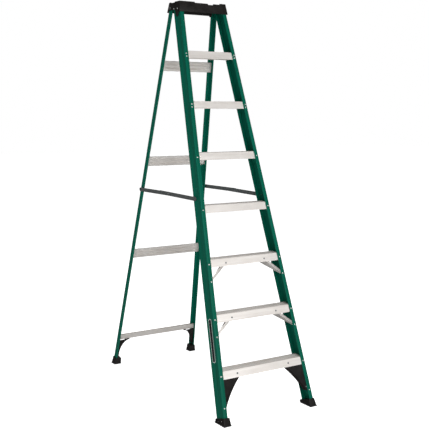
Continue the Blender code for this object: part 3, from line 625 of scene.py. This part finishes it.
# ---------------------------------------------------------------- steps

def tread_profile(front, back, drop, slope):
    """Side view of a step: ribbed tread, sloping aprons and turned-in lower lips."""
    pitch = (back - front - 2 * TREAD_MARGIN) / TREAD_RIBS
    top = [(front, -RIB_HEIGHT)]
    for rib in range(TREAD_RIBS):
        start = front + TREAD_MARGIN + rib * pitch
        for share, height in ((0.20, -RIB_HEIGHT), (0.32, 0), (0.68, 0), (0.80, -RIB_HEIGHT)):
            top.append((start + pitch * share, height))
    top.append((back, -RIB_HEIGHT))
    outer_back = back + drop * slope
    outer_front = front + drop * slope
    sheet = STEP_SHEET
    under = -sheet - RIB_HEIGHT
    lower = [(outer_back, drop), (outer_back - HEM, drop), (outer_back - HEM, drop + sheet),
             (outer_back - sheet + HEM_TAPER, drop + sheet),
             (back - sheet + under * slope, under), (front + sheet + under * slope, under),
             (outer_front + sheet + HEM_TAPER, drop + sheet), (outer_front + HEM, drop + sheet),
             (outer_front + HEM, drop), (outer_front, drop)]
    return top + lower


def nose_plate(tread, drop, front, slope):
    """The apron's raised face between the flanges, with rounded corners."""
    top_along = FRONT.along(tread)
    edge = FRONT_FLANGES[0] + NOSE_GAP
    top_half = FRONT.half(top_along) - edge
    low_half = FRONT.half(top_along + drop / math.cos(FRONT.lean)) - edge
    outline = rounded([(-low_half, drop, NOSE_CORNER), (low_half, drop, NOSE_CORNER),
                       (top_half, 0, NOSE_TOP_CORNER), (-top_half, 0, NOSE_TOP_CORNER)], 5)
    plate = prism("nose", outline, NOSE_SETBACK, front + STEP_SHEET * 0.5)
    for vert in plate.vertices:
        across, height, depth = vert.co
        crown = 0
        if depth < front * 0.5:
            crown = NOSE_CROWN * (1 - min(1, -height / NOSE_CROWN_DROP))
        vert.co = (across, depth + height * slope + crown, height)
    plate.flip_normals()
    return plate


def build_step(number):
    """One step: a ribbed channel between the rails, with its nose plate."""
    node = f"step_{number}"
    low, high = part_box(node)
    slope = math.tan(FRONT.lean)
    tread = high.z
    drop = low.z - tread
    face = FRONT.matrix.translation.y + tread * slope
    front = (RAIL_WALL + STEP_GAP) / math.cos(FRONT.lean)
    back = (FRONT.depth - RAIL_WALL - STEP_GAP) / math.cos(FRONT.lean)
    to_side_view = Matrix(((0, 0, 1, 0), (1, 0, 0, 0), (0, 1, 0, 0), (0, 0, 0, 1)))
    channel = prism(node, tread_profile(front, back, drop, slope), -0.5, 0.5)
    channel.transform(to_side_view)
    for vert in channel.vertices:
        along = FRONT.along(tread)
        along += vert.co.z * math.cos(FRONT.lean)
        along += vert.co.y * math.sin(FRONT.lean)
        reach = FRONT.half(along) - RAIL_WALL - STEP_END_GAP
        vert.co.x = math.copysign(reach, vert.co.x)
    nose = nose_plate(tread, drop, front, slope)
    matrix = Matrix.Translation((0, face, tread))
    show(f"{node}_tread", merged(node, [channel, nose]), matrix, STEP_METAL, "front_section",
         [node], bevel=0.0004, sharp=30)


def build_step_rivets():
    """One rivet at each end of a step, and a pair at each end of the top two."""
    head = rivet_head(*STEP_HEAD)
    for number in STEPS:
        for label, side in SIDES:
            node = f"step_rivet_{number}_{label}"
            local = points_of(node, FRONT.matrix)
            centre = sum(local, Vector()) / len(local)
            if number >= FIRST_PAIRED_STEP:
                heights = (centre.z - PAIR_PITCH / 2, centre.z + PAIR_PITCH / 2)
            else:
                heights = (centre.z,)
            places = [(Vector((centre.x, 0, height)), (0, -1, 0)) for height in heights]
            scatter(f"{node}_head", head, places, FRONT.matrix, RIVET, "front_section",
                    [node])


# ---------------------------------------------------------------- braces and gussets

def build_knee_braces():
    """Braces with a screw in the step's apron and a rivet in the rail's flange."""
    head = rivet_head(*BRACE_HEAD)
    for number in (2, 3):
        for label, side in SIDES:
            node = f"knee_brace_{number}_{label}"
            show(f"{node}_strap", solid_of(node, FRONT.matrix), FRONT.matrix, PLATE_METAL,
                 "front_section", [node], bevel=0.0006, sharp=50)
            low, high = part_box(node)
            inner = min(abs(low.x), abs(high.x)) + BRACE_INSET
            outer = max(abs(low.x), abs(high.x)) - BRACE_INSET
            apron_z = FRONT.along(high.z) - BRACE_INSET
            apron = Vector((side * inner, NOSE_SETBACK, apron_z))
            flange = Vector((side * outer, 0, FRONT.along(low.z) + BRACE_INSET))
            scatter(f"{node}_screw", head, [(apron, (0, -1, 0))], FRONT.matrix, STEEL,
                    "front_section")
            scatter(f"{node}_rivet", head, [(flange, (0, -1, 0))], FRONT.matrix, RIVET,
                    "front_section")


def build_gussets(section, prefix, body):
    """A section's two moulded corner braces."""
    for label, side in SIDES:
        node = f"{prefix}_{label}"
        show(f"{node}_moulding", solid_of(node, section.matrix), section.matrix, PLASTIC,
             body, [node], bevel=0.0007, sharp=50)


def build_gusset_screws():
    """Screws through the lowest step's apron, and a bolt low on each front gusset."""
    head = rivet_head(*GUSSET_HEAD)
    step_low, step_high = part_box("step_1")
    for label, side in SIDES:
        low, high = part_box(f"front_gusset_{label}")
        tip = min(abs(low.x), abs(high.x))
        along = FRONT.along((step_low.z + step_high.z) / 2)
        apron = Vector((side * (tip + GUSSET_SCREW_INSET), NOSE_SETBACK, along))
        scatter(f"front_gusset_screw_{label}", head, [(apron, (0, -1, 0))], FRONT.matrix,
                STEEL, "front_section")
        foot = FRONT.along(low.z + GUSSET_SCREW_INSET)
        across = FRONT.half(foot) - FRONT_FLANGES[0] - GUSSET_BOLT_GAP
        bolt = Vector((side * across, GUSSET_BOLT_DEPTH, foot))
        scatter(f"front_gusset_bolt_{label}", head, [(bolt, (0, -1, 0))], FRONT.matrix,
                STEEL, "front_section")


# ---------------------------------------------------------------- feet

def build_boots(prefix, body):
    """Moulded shoes that widen to the edge of their soles."""
    for label, side in SIDES:
        node = f"{prefix}_boot_{label}"
        sole = f"{prefix}_sole_{label}"
        boot_low, boot_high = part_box(node)
        sole_low, sole_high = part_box(sole)
        mesh = solid_of(node, Matrix.Identity(4))
        centre = (sole_low + sole_high) / 2
        for vert in mesh.vertices:
            share = 1 - (vert.co.z - boot_low.z) / (boot_high.z - boot_low.z)
            flare = BOOT_FLARE * max(0.0, share) ** BOOT_FLARE_POWER
            for axis in (0, 1):
                edge = (sole_high[axis] - sole_low[axis]) / 2
                reach = (vert.co[axis] - centre[axis]) / edge
                if abs(reach) > BOOT_FLARED_SHARE:
                    vert.co[axis] += math.copysign(flare, reach)
        show(f"{node}_shoe", mesh, Matrix.Identity(4), PLASTIC, body,
             [node], bevel=0.0012, sharp=45, segments=3)
        show(f"{sole}_tread", solid_of(sole, Matrix.Identity(4)), Matrix.Identity(4), RUBBER,
             body, [sole], bevel=0.0006, sharp=45)


def build_foot_details():
    """Shoe rivets, lower flange rivets, and the wear strip inside each front rail."""
    head = rivet_head(*SHOE_HEAD)
    for label, side in SIDES:
        boot_low, boot_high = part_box(f"front_boot_{label}")
        web = FRONT.rail_matrix(side)
        along = FRONT.along((boot_low.z + boot_high.z) * SHOE_RIVET_SHARE)
        places = [(Vector((side * BOOT_WALL, depth, along)), (side, 0, 0))
                  for depth in SHOE_RIVET_DEPTHS]
        scatter(f"front_boot_rivets_{label}", head, places, web, RIVET, "front_section")
        height = FRONT.along(boot_high.z + FOOT_RIVET_RISE)
        low_rivet = Vector((-side * FOOT_RIVET_INSET, 0, height))
        scatter(f"front_flange_rivet_{label}", head, [(low_rivet, (0, -1, 0))], web, RIVET,
                "front_section")
        build_wear_strip(label, side, web)


def build_wear_strip(label, side, web):
    """Metal strip low on the inner face of a front rail's web."""
    near, far = STRIP_DEPTHS
    foot, top = STRIP_HEIGHTS
    outline = rounded([(near, foot, 0.002), (far, foot, 0.002), (far, top, 0.006),
                       (near, top, 0.006)])
    plate = prism("strip", outline, 0, STRIP_SHEET)
    plate.transform(Matrix(((0, 0, -side, -side * RAIL_WALL), (1, 0, 0, 0), (0, 1, 0, 0),
                            (0, 0, 0, 1))))
    if side > 0:
        plate.flip_normals()
    show(f"front_foot_strip_{label}", plate, web, PLATE_METAL, "front_section",
         bevel=0.0003, sharp=40)


def label_outline(half_wide, half_long):
    """Upright rectangle whose ends rise to a low rounded point."""
    shoulder = half_long - LABEL_POINT
    return rounded([(-half_wide, -shoulder, 0.003), (0, -half_long, 0.004),
                    (half_wide, -shoulder, 0.003), (half_wide, shoulder, 0.003),
                    (0, half_long, 0.004), (-half_wide, shoulder, 0.003)])


def build_labels():
    """Blank label on the outside of each front rail: a light rim round a dark field."""
    middle = FRONT.along(LABEL_MIDDLE)
    for label, side in SIDES:
        matrix = FRONT.rail_matrix(side)
        for name, inset, lift, material in (("rim", 0.0, 0.00005, LABEL_LIGHT),
                                            ("field", LABEL_RIM, 0.00012, LABEL_DARK)):
            outline = label_outline(LABEL_WIDTH / 2 - inset, LABEL_LENGTH / 2 - inset)
            film = prism("film", outline, 0, LABEL_FILM)
            outward = Matrix(((0, 0, side, side * (lift - PANEL_RELIEF)),
                              (1, 0, 0, FRONT.depth / 2), (0, 1, 0, middle), (0, 0, 0, 1)))
            film.transform(outward)
            if side < 0:
                film.flip_normals()
            show(f"rail_label_{name}_{label}", film, matrix, material, "front_section",
                 sharp=40)


# ---------------------------------------------------------------- rear bars

def rolled_relief(height, ridge, fade):
    """Depth of a rolled sheet at a height from -1 to 1, and how far its edge has curled."""
    depth = 0
    for centre in BAR_RIDGES:
        depth += max(0, 1 - (abs(height - centre) / BAR_RIDGE_SHARE) ** 2) * ridge * fade
    curl = max(0, abs(height) - BAR_CURL_START) / (1 - BAR_CURL_START)
    return depth, curl


def rolled_bar(node, half):
    """Sheet rolled with two ridges that fade out at its flat ends, and curled edges."""
    local = points_of(node, REAR.matrix)
    low = Vector((min(p.x for p in local), min(p.y for p in local), min(p.z for p in local)))
    high = Vector((max(p.x for p in local), max(p.y for p in local), max(p.z for p in local)))
    middle = (low.z + high.z) / 2
    tall = (high.z - low.z) / 2 - BAR_SHEET / 2
    ridge = high.y - low.y - BAR_SHEET
    face = low.y + BAR_SHEET / 2
    shape = bmesh.new()
    grid = []
    for column in range(BAR_COLUMNS + 1):
        share = -1 + 2 * column / BAR_COLUMNS
        line = []
        for row in range(BAR_ROWS + 1):
            height = -1 + 2 * row / BAR_ROWS
            reach = half(middle + height * tall)
            across = share * reach
            fade = min(1, max(0, (reach - abs(across) - BAR_FLAT_END) / BAR_FADE))
            depth, curl = rolled_relief(height, ridge, fade)
            depth += face
            depth += curl ** 2 * ridge * BAR_CURL_SHARE
            wave = BAR_WAVE_HEIGHT * math.sin(across * math.tau / BAR_WAVE) * fade
            level = middle + height * tall - math.copysign(BAR_CURL_DROP * curl, height)
            line.append(shape.verts.new((across, depth, level + wave * curl)))
        grid.append(line)
    for left, right in zip(grid, grid[1:]):
        for row in range(BAR_ROWS):
            shape.faces.new((left[row], right[row], right[row + 1], left[row + 1]))
    bmesh.ops.recalc_face_normals(shape, faces=shape.faces)
    bmesh.ops.solidify(shape, geom=shape.faces[:], thickness=BAR_SHEET)
    mesh = to_mesh(node, shape)
    back = max(vert.co.y for vert in mesh.vertices) - high.y
    mesh.transform(Matrix.Translation((0, -back, 0)))
    return mesh, low.y, middle


def build_rear_bars():
    """Three rolled cross bars, riveted to the rails."""
    head = rivet_head(*BAR_HEAD)
    for name in ("top", "middle", "lower"):
        node = f"rear_bar_{name}"
        mesh, face, middle = rolled_bar(node, lambda up: REAR.half(up) - BAR_END_GAP)
        show(f"{node}_rolled", mesh, REAR.matrix, BAR_METAL, "rear_section",
             [node], sharp=50)
        places = []
        for _, side in SIDES:
            for lift, inset in BAR_RIVETS:
                across = REAR.half(middle + lift) - inset
                places.append((Vector((side * across, face, middle + lift)), (0, -1, 0)))
        scatter(f"{node}_rivets", head, places, REAR.matrix, RIVET, "rear_section")


def build_bottom_bar():
    """The plain lowest bar, with two rivets at each end."""
    node = "rear_bar_bottom"
    show(f"{node}_angle", solid_of(node, REAR.matrix), REAR.matrix, BAR_METAL, "rear_section",
         [node], bevel=0.0005, sharp=30)
    local = points_of(node, REAR.matrix)
    middle = (min(p.z for p in local) + max(p.z for p in local)) / 2
    face = max(p.y for p in local) - BOTTOM_BAR_SHEET
    level = middle - BOTTOM_RIVET_DROP
    places = [(Vector((side * (REAR.half(middle) - inset), face, level)), (0, -1, 0))
              for _, side in SIDES for inset in BOTTOM_RIVET_INSETS]
    scatter(f"{node}_rivets", rivet_head(*BAR_HEAD), places, REAR.matrix, RIVET,
            "rear_section")


# ---------------------------------------------------------------- cap

def face_matrix(node, towards, point):
    """Frame on a node's flat outer face, Z outwards and Y up, near a world point."""
    normal = broadest_normal(node, towards)
    reach = max(p.dot(normal) for p in points_of(node))
    origin = Vector(point) + normal * (reach - Vector(point).dot(normal))
    across = Vector((0, 0, 1)).cross(normal).normalized()
    up = normal.cross(across)
    return Matrix.Translation(origin) @ Matrix((across, up, normal)).transposed().to_4x4()


def tray_floor(node):
    """Height of the tray's floor, the widest face that looks up."""
    faces = [face for face in NODES[node].data.polygons if face.normal.z > 0.99]
    return max(faces, key=lambda face: face.area).center.z


def name_panel():
    """Blank plate with rounded corners."""
    across, up = NAME_PANEL_HALF
    corners = [(-across, -up), (across, -up), (across, up), (-across, up)]
    outline = rounded([(x, y, NAME_PANEL_CORNER) for x, y in corners])
    return prism("panel", outline, -0.0010, 0.0006)


def tray_ribs(low, size, floor_z):
    """Grip ribs that run front to back on the tray's floor."""
    ribs = []
    front, back = [low.y + size.y * share for share in CAP_RIB_ENDS]
    for rib in range(CAP_RIBS):
        across = low.x + size.x * (CAP_RIB_FIRST + CAP_RIB_PITCH * rib)
        left = across - CAP_RIB_HALF
        right = across + CAP_RIB_HALF
        corners = [(left, front), (right, front), (right, back), (left, back)]
        outline = rounded([(x, y, 0.0011) for x, y in corners], 3)
        ribs.append(prism("rib", outline, floor_z - 0.0005, floor_z + 0.0012))
    return merged("ribs", ribs)


def build_cap():
    """The moulded cap, a blank name panel on its front, grip ribs and side rivets."""
    node = "top_cap"
    world = Matrix.Identity(4)
    low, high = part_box(node)
    size = high - low
    show("top_cap_moulding", solid_of(node, world), world, PLASTIC, "front_section",
         [node], bevel=0.0009, sharp=40)
    panel_z = low.z + size.z * NAME_PANEL_LEVEL
    front = face_matrix(node, (0, -1, 0), (0, low.y, panel_z))
    show("top_cap_name_panel", name_panel(), front, PLASTIC, "front_section",
         bevel=0.0003, sharp=40)
    show("top_cap_tray_ribs", tray_ribs(low, size, tray_floor(node)), world, PLASTIC,
         "front_section", sharp=40)
    head = rivet_head(*CAP_HEAD)
    for label, side in SIDES:
        places = []
        for share, height in CAP_RIVETS:
            point = (side * size.x / 2, low.y + size.y * share, low.z + size.z * height)
            spot = face_matrix(node, (side, 0, 0), point)
            places.append((spot.translation, spot.col[2].to_3d()))
        scatter(f"top_cap_rivets_{label}", head, places, world, RIVET, "front_section")


# ---------------------------------------------------------------- spreaders and pins

def pressed_bar(node):
    """Round-ended bar with a shallow trough pressed into both of its faces."""
    points = points_of(node)
    low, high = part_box(node)
    start = min(points, key=lambda p: p.y)
    end = max(points, key=lambda p: p.y)
    along = (end - start) * Vector((0, 1, 1))
    length = along.length
    along.normalize()
    side_on = Vector((1, 0, 0))
    upward = side_on.cross(along)
    radius = max(abs((p - start).dot(upward)) for p in points)
    outline = (arc((radius, 0), (radius, radius), 90, 270, 14)
               + arc((length - radius, 0), (radius, radius), -90, 90, 14))
    shape = bmesh.new()
    shape.from_mesh(prism(node, outline, 0, high.x - low.x))
    shape.faces.ensure_lookup_table()
    for face in [face for face in shape.faces if abs(face.normal.z) > 0.99]:
        bmesh.ops.inset_region(shape, faces=[face], thickness=TROUGH_INSET)
        bmesh.ops.inset_region(shape, faces=[face], thickness=TROUGH_SLOPE,
                               depth=-TROUGH_DEPTH)
    mesh = to_mesh(node, shape)
    origin = Vector((low.x, start.y, start.z))
    turn = Matrix((along, upward, side_on)).transposed().to_4x4()
    mesh.transform(Matrix.Translation(origin) @ turn)
    return mesh, origin, along


def build_spreaders():
    """The four spreader bars, and a small stop near the elbow on each rear one."""
    world = Matrix.Identity(4)
    stop = rivet_head(*STOP_HEAD)
    for label, side in SIDES:
        for part in ("front", "rear"):
            node = f"spreader_{part}_{label}"
            body = f"spreader_{part}_bar_{label}"
            mesh, origin, along = pressed_bar(node)
            show(f"{node}_bar", mesh, world, STEEL, body, [node],
                 bevel=0.0004, sharp=35)
            if part == "rear":
                low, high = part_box(node)
                face = low.x if side < 0 else high.x
                spot = origin + along * STOP_PLACE
                place = (Vector((face - side * TROUGH_DEPTH, spot.y, spot.z)), (side, 0, 0))
                scatter(f"spreader_stop_{label}", stop, [place], world, RIVET, body)


def build_pivots():
    """Heads of the spreaders' rivets and of the two pins in the cap."""
    world = Matrix.Identity(4)
    for pivot, body in (("spreader_front_rivet", "front_section"),
                        ("spreader_rear_rivet", "rear_section"),
                        ("spreader_elbow_rivet", "spreader_rear_bar_{side}"),
                        ("rear_pivot_pin", "front_section")):
        for label, _ in SIDES:
            node = f"{pivot}_{label}"
            show(f"{node}_set", solid_of(node, world), world, STEEL, body.format(side=label),
                 [node], bevel=0.0003, sharp=45)


# ---------------------------------------------------------------- studio

def build_floor():
    """Flat white floor that glows a little, so that it meets the white room unseen."""
    finish = Finish("studio_floor", 0.9)
    cloud = finish.noise((0.6, 0.6, 0.6), 2)
    finish.colour(finish.ramp(cloud, [(0.3, (0.92, 0.92, 0.92)), (0.7, (0.95, 0.95, 0.95))]))
    finish.shader.inputs["Emission Color"].default_value = (1, 1, 1, 1)
    finish.shader.inputs["Emission Strength"].default_value = FLOOR_GLOW
    shape = bmesh.new()
    bmesh.ops.create_grid(shape, x_segments=8, y_segments=8, size=30)
    floor = bpy.data.objects.new("studio_floor", to_mesh("studio_floor", shape))
    floor.data.materials.append(finish.material)
    bpy.context.scene.collection.objects.link(floor)
    floor.visible_glossy = False


def build_room():
    """White room, bright to the camera and dimmer to the ladder and its reflections."""
    world = bpy.data.worlds.new("studio")
    world.use_nodes = True
    tree = world.node_tree
    sky = tree.nodes["Background"]
    sky.inputs["Color"].default_value = (1, 1, 1, 1)
    rays = tree.nodes.new("ShaderNodeLightPath")
    value = None
    for kind, strength in (("Is Glossy Ray", ROOM_GLOSS), ("Is Camera Ray", 1.0)):
        choice = tree.nodes.new("ShaderNodeMix")
        choice.inputs["A"].default_value = ROOM_LIGHT
        choice.inputs["B"].default_value = strength
        tree.links.new(rays.outputs[kind], choice.inputs["Factor"])
        if value:
            tree.links.new(value, choice.inputs["A"])
        value = choice.outputs["Result"]
    tree.links.new(value, sky.inputs["Strength"])
    bpy.context.scene.world = world
    bpy.context.scene.view_settings.view_transform = "Standard"


def build_lights():
    """Soft frontal light. The fill isn't mirrored in the ladder."""
    for name, (place, size, power) in LIGHTS.items():
        lamp = bpy.data.lights.new(name, "AREA")
        lamp.size = size
        lamp.energy = power
        holder = bpy.data.objects.new(name, lamp)
        holder.location = place
        aim = Vector(LIGHTS_AIM) - Vector(place)
        holder.rotation_euler = aim.to_track_quat("-Z", "Y").to_euler()
        holder.visible_glossy = name != "fill"
        bpy.context.scene.collection.objects.link(holder)


def build_camera():
    """Camera at the front left, looking slightly down."""
    camera = bpy.data.objects.new("camera", bpy.data.cameras.new("camera"))
    camera.data.sensor_width = 36
    camera.data.lens = CAMERA_LENS
    camera.location = CAMERA_PLACE
    camera.rotation_euler = (math.radians(90 - CAMERA_TILT), 0, math.radians(-CAMERA_TURN))
    bpy.context.scene.collection.objects.link(camera)
    bpy.context.scene.camera = camera


FRONT_FLANGES = flange_widths(FRONT, "front_rail_left")
REAR_FLANGES = flange_widths(REAR, "rear_rail_left")

build_floor()
build_room()
build_lights()
build_camera()
build_rails(FRONT, "front_rail", RAIL_WALL, FRONT_FLANGES, RAIL_CORNER, "front_section")
build_rails(REAR, "rear_rail", REAR_RAIL_WALL, REAR_FLANGES, REAR_RAIL_CORNER,
            "rear_section")
for number in STEPS:
    build_step(number)
build_step_rivets()
build_knee_braces()
build_gussets(FRONT, "front_gusset", "front_section")
build_gussets(REAR, "rear_gusset", "rear_section")
build_gusset_screws()
build_boots("front", "front_section")
build_boots("rear", "rear_section")
build_foot_details()
build_labels()
build_rear_bars()
build_bottom_bar()
build_cap()
build_spreaders()
build_pivots()
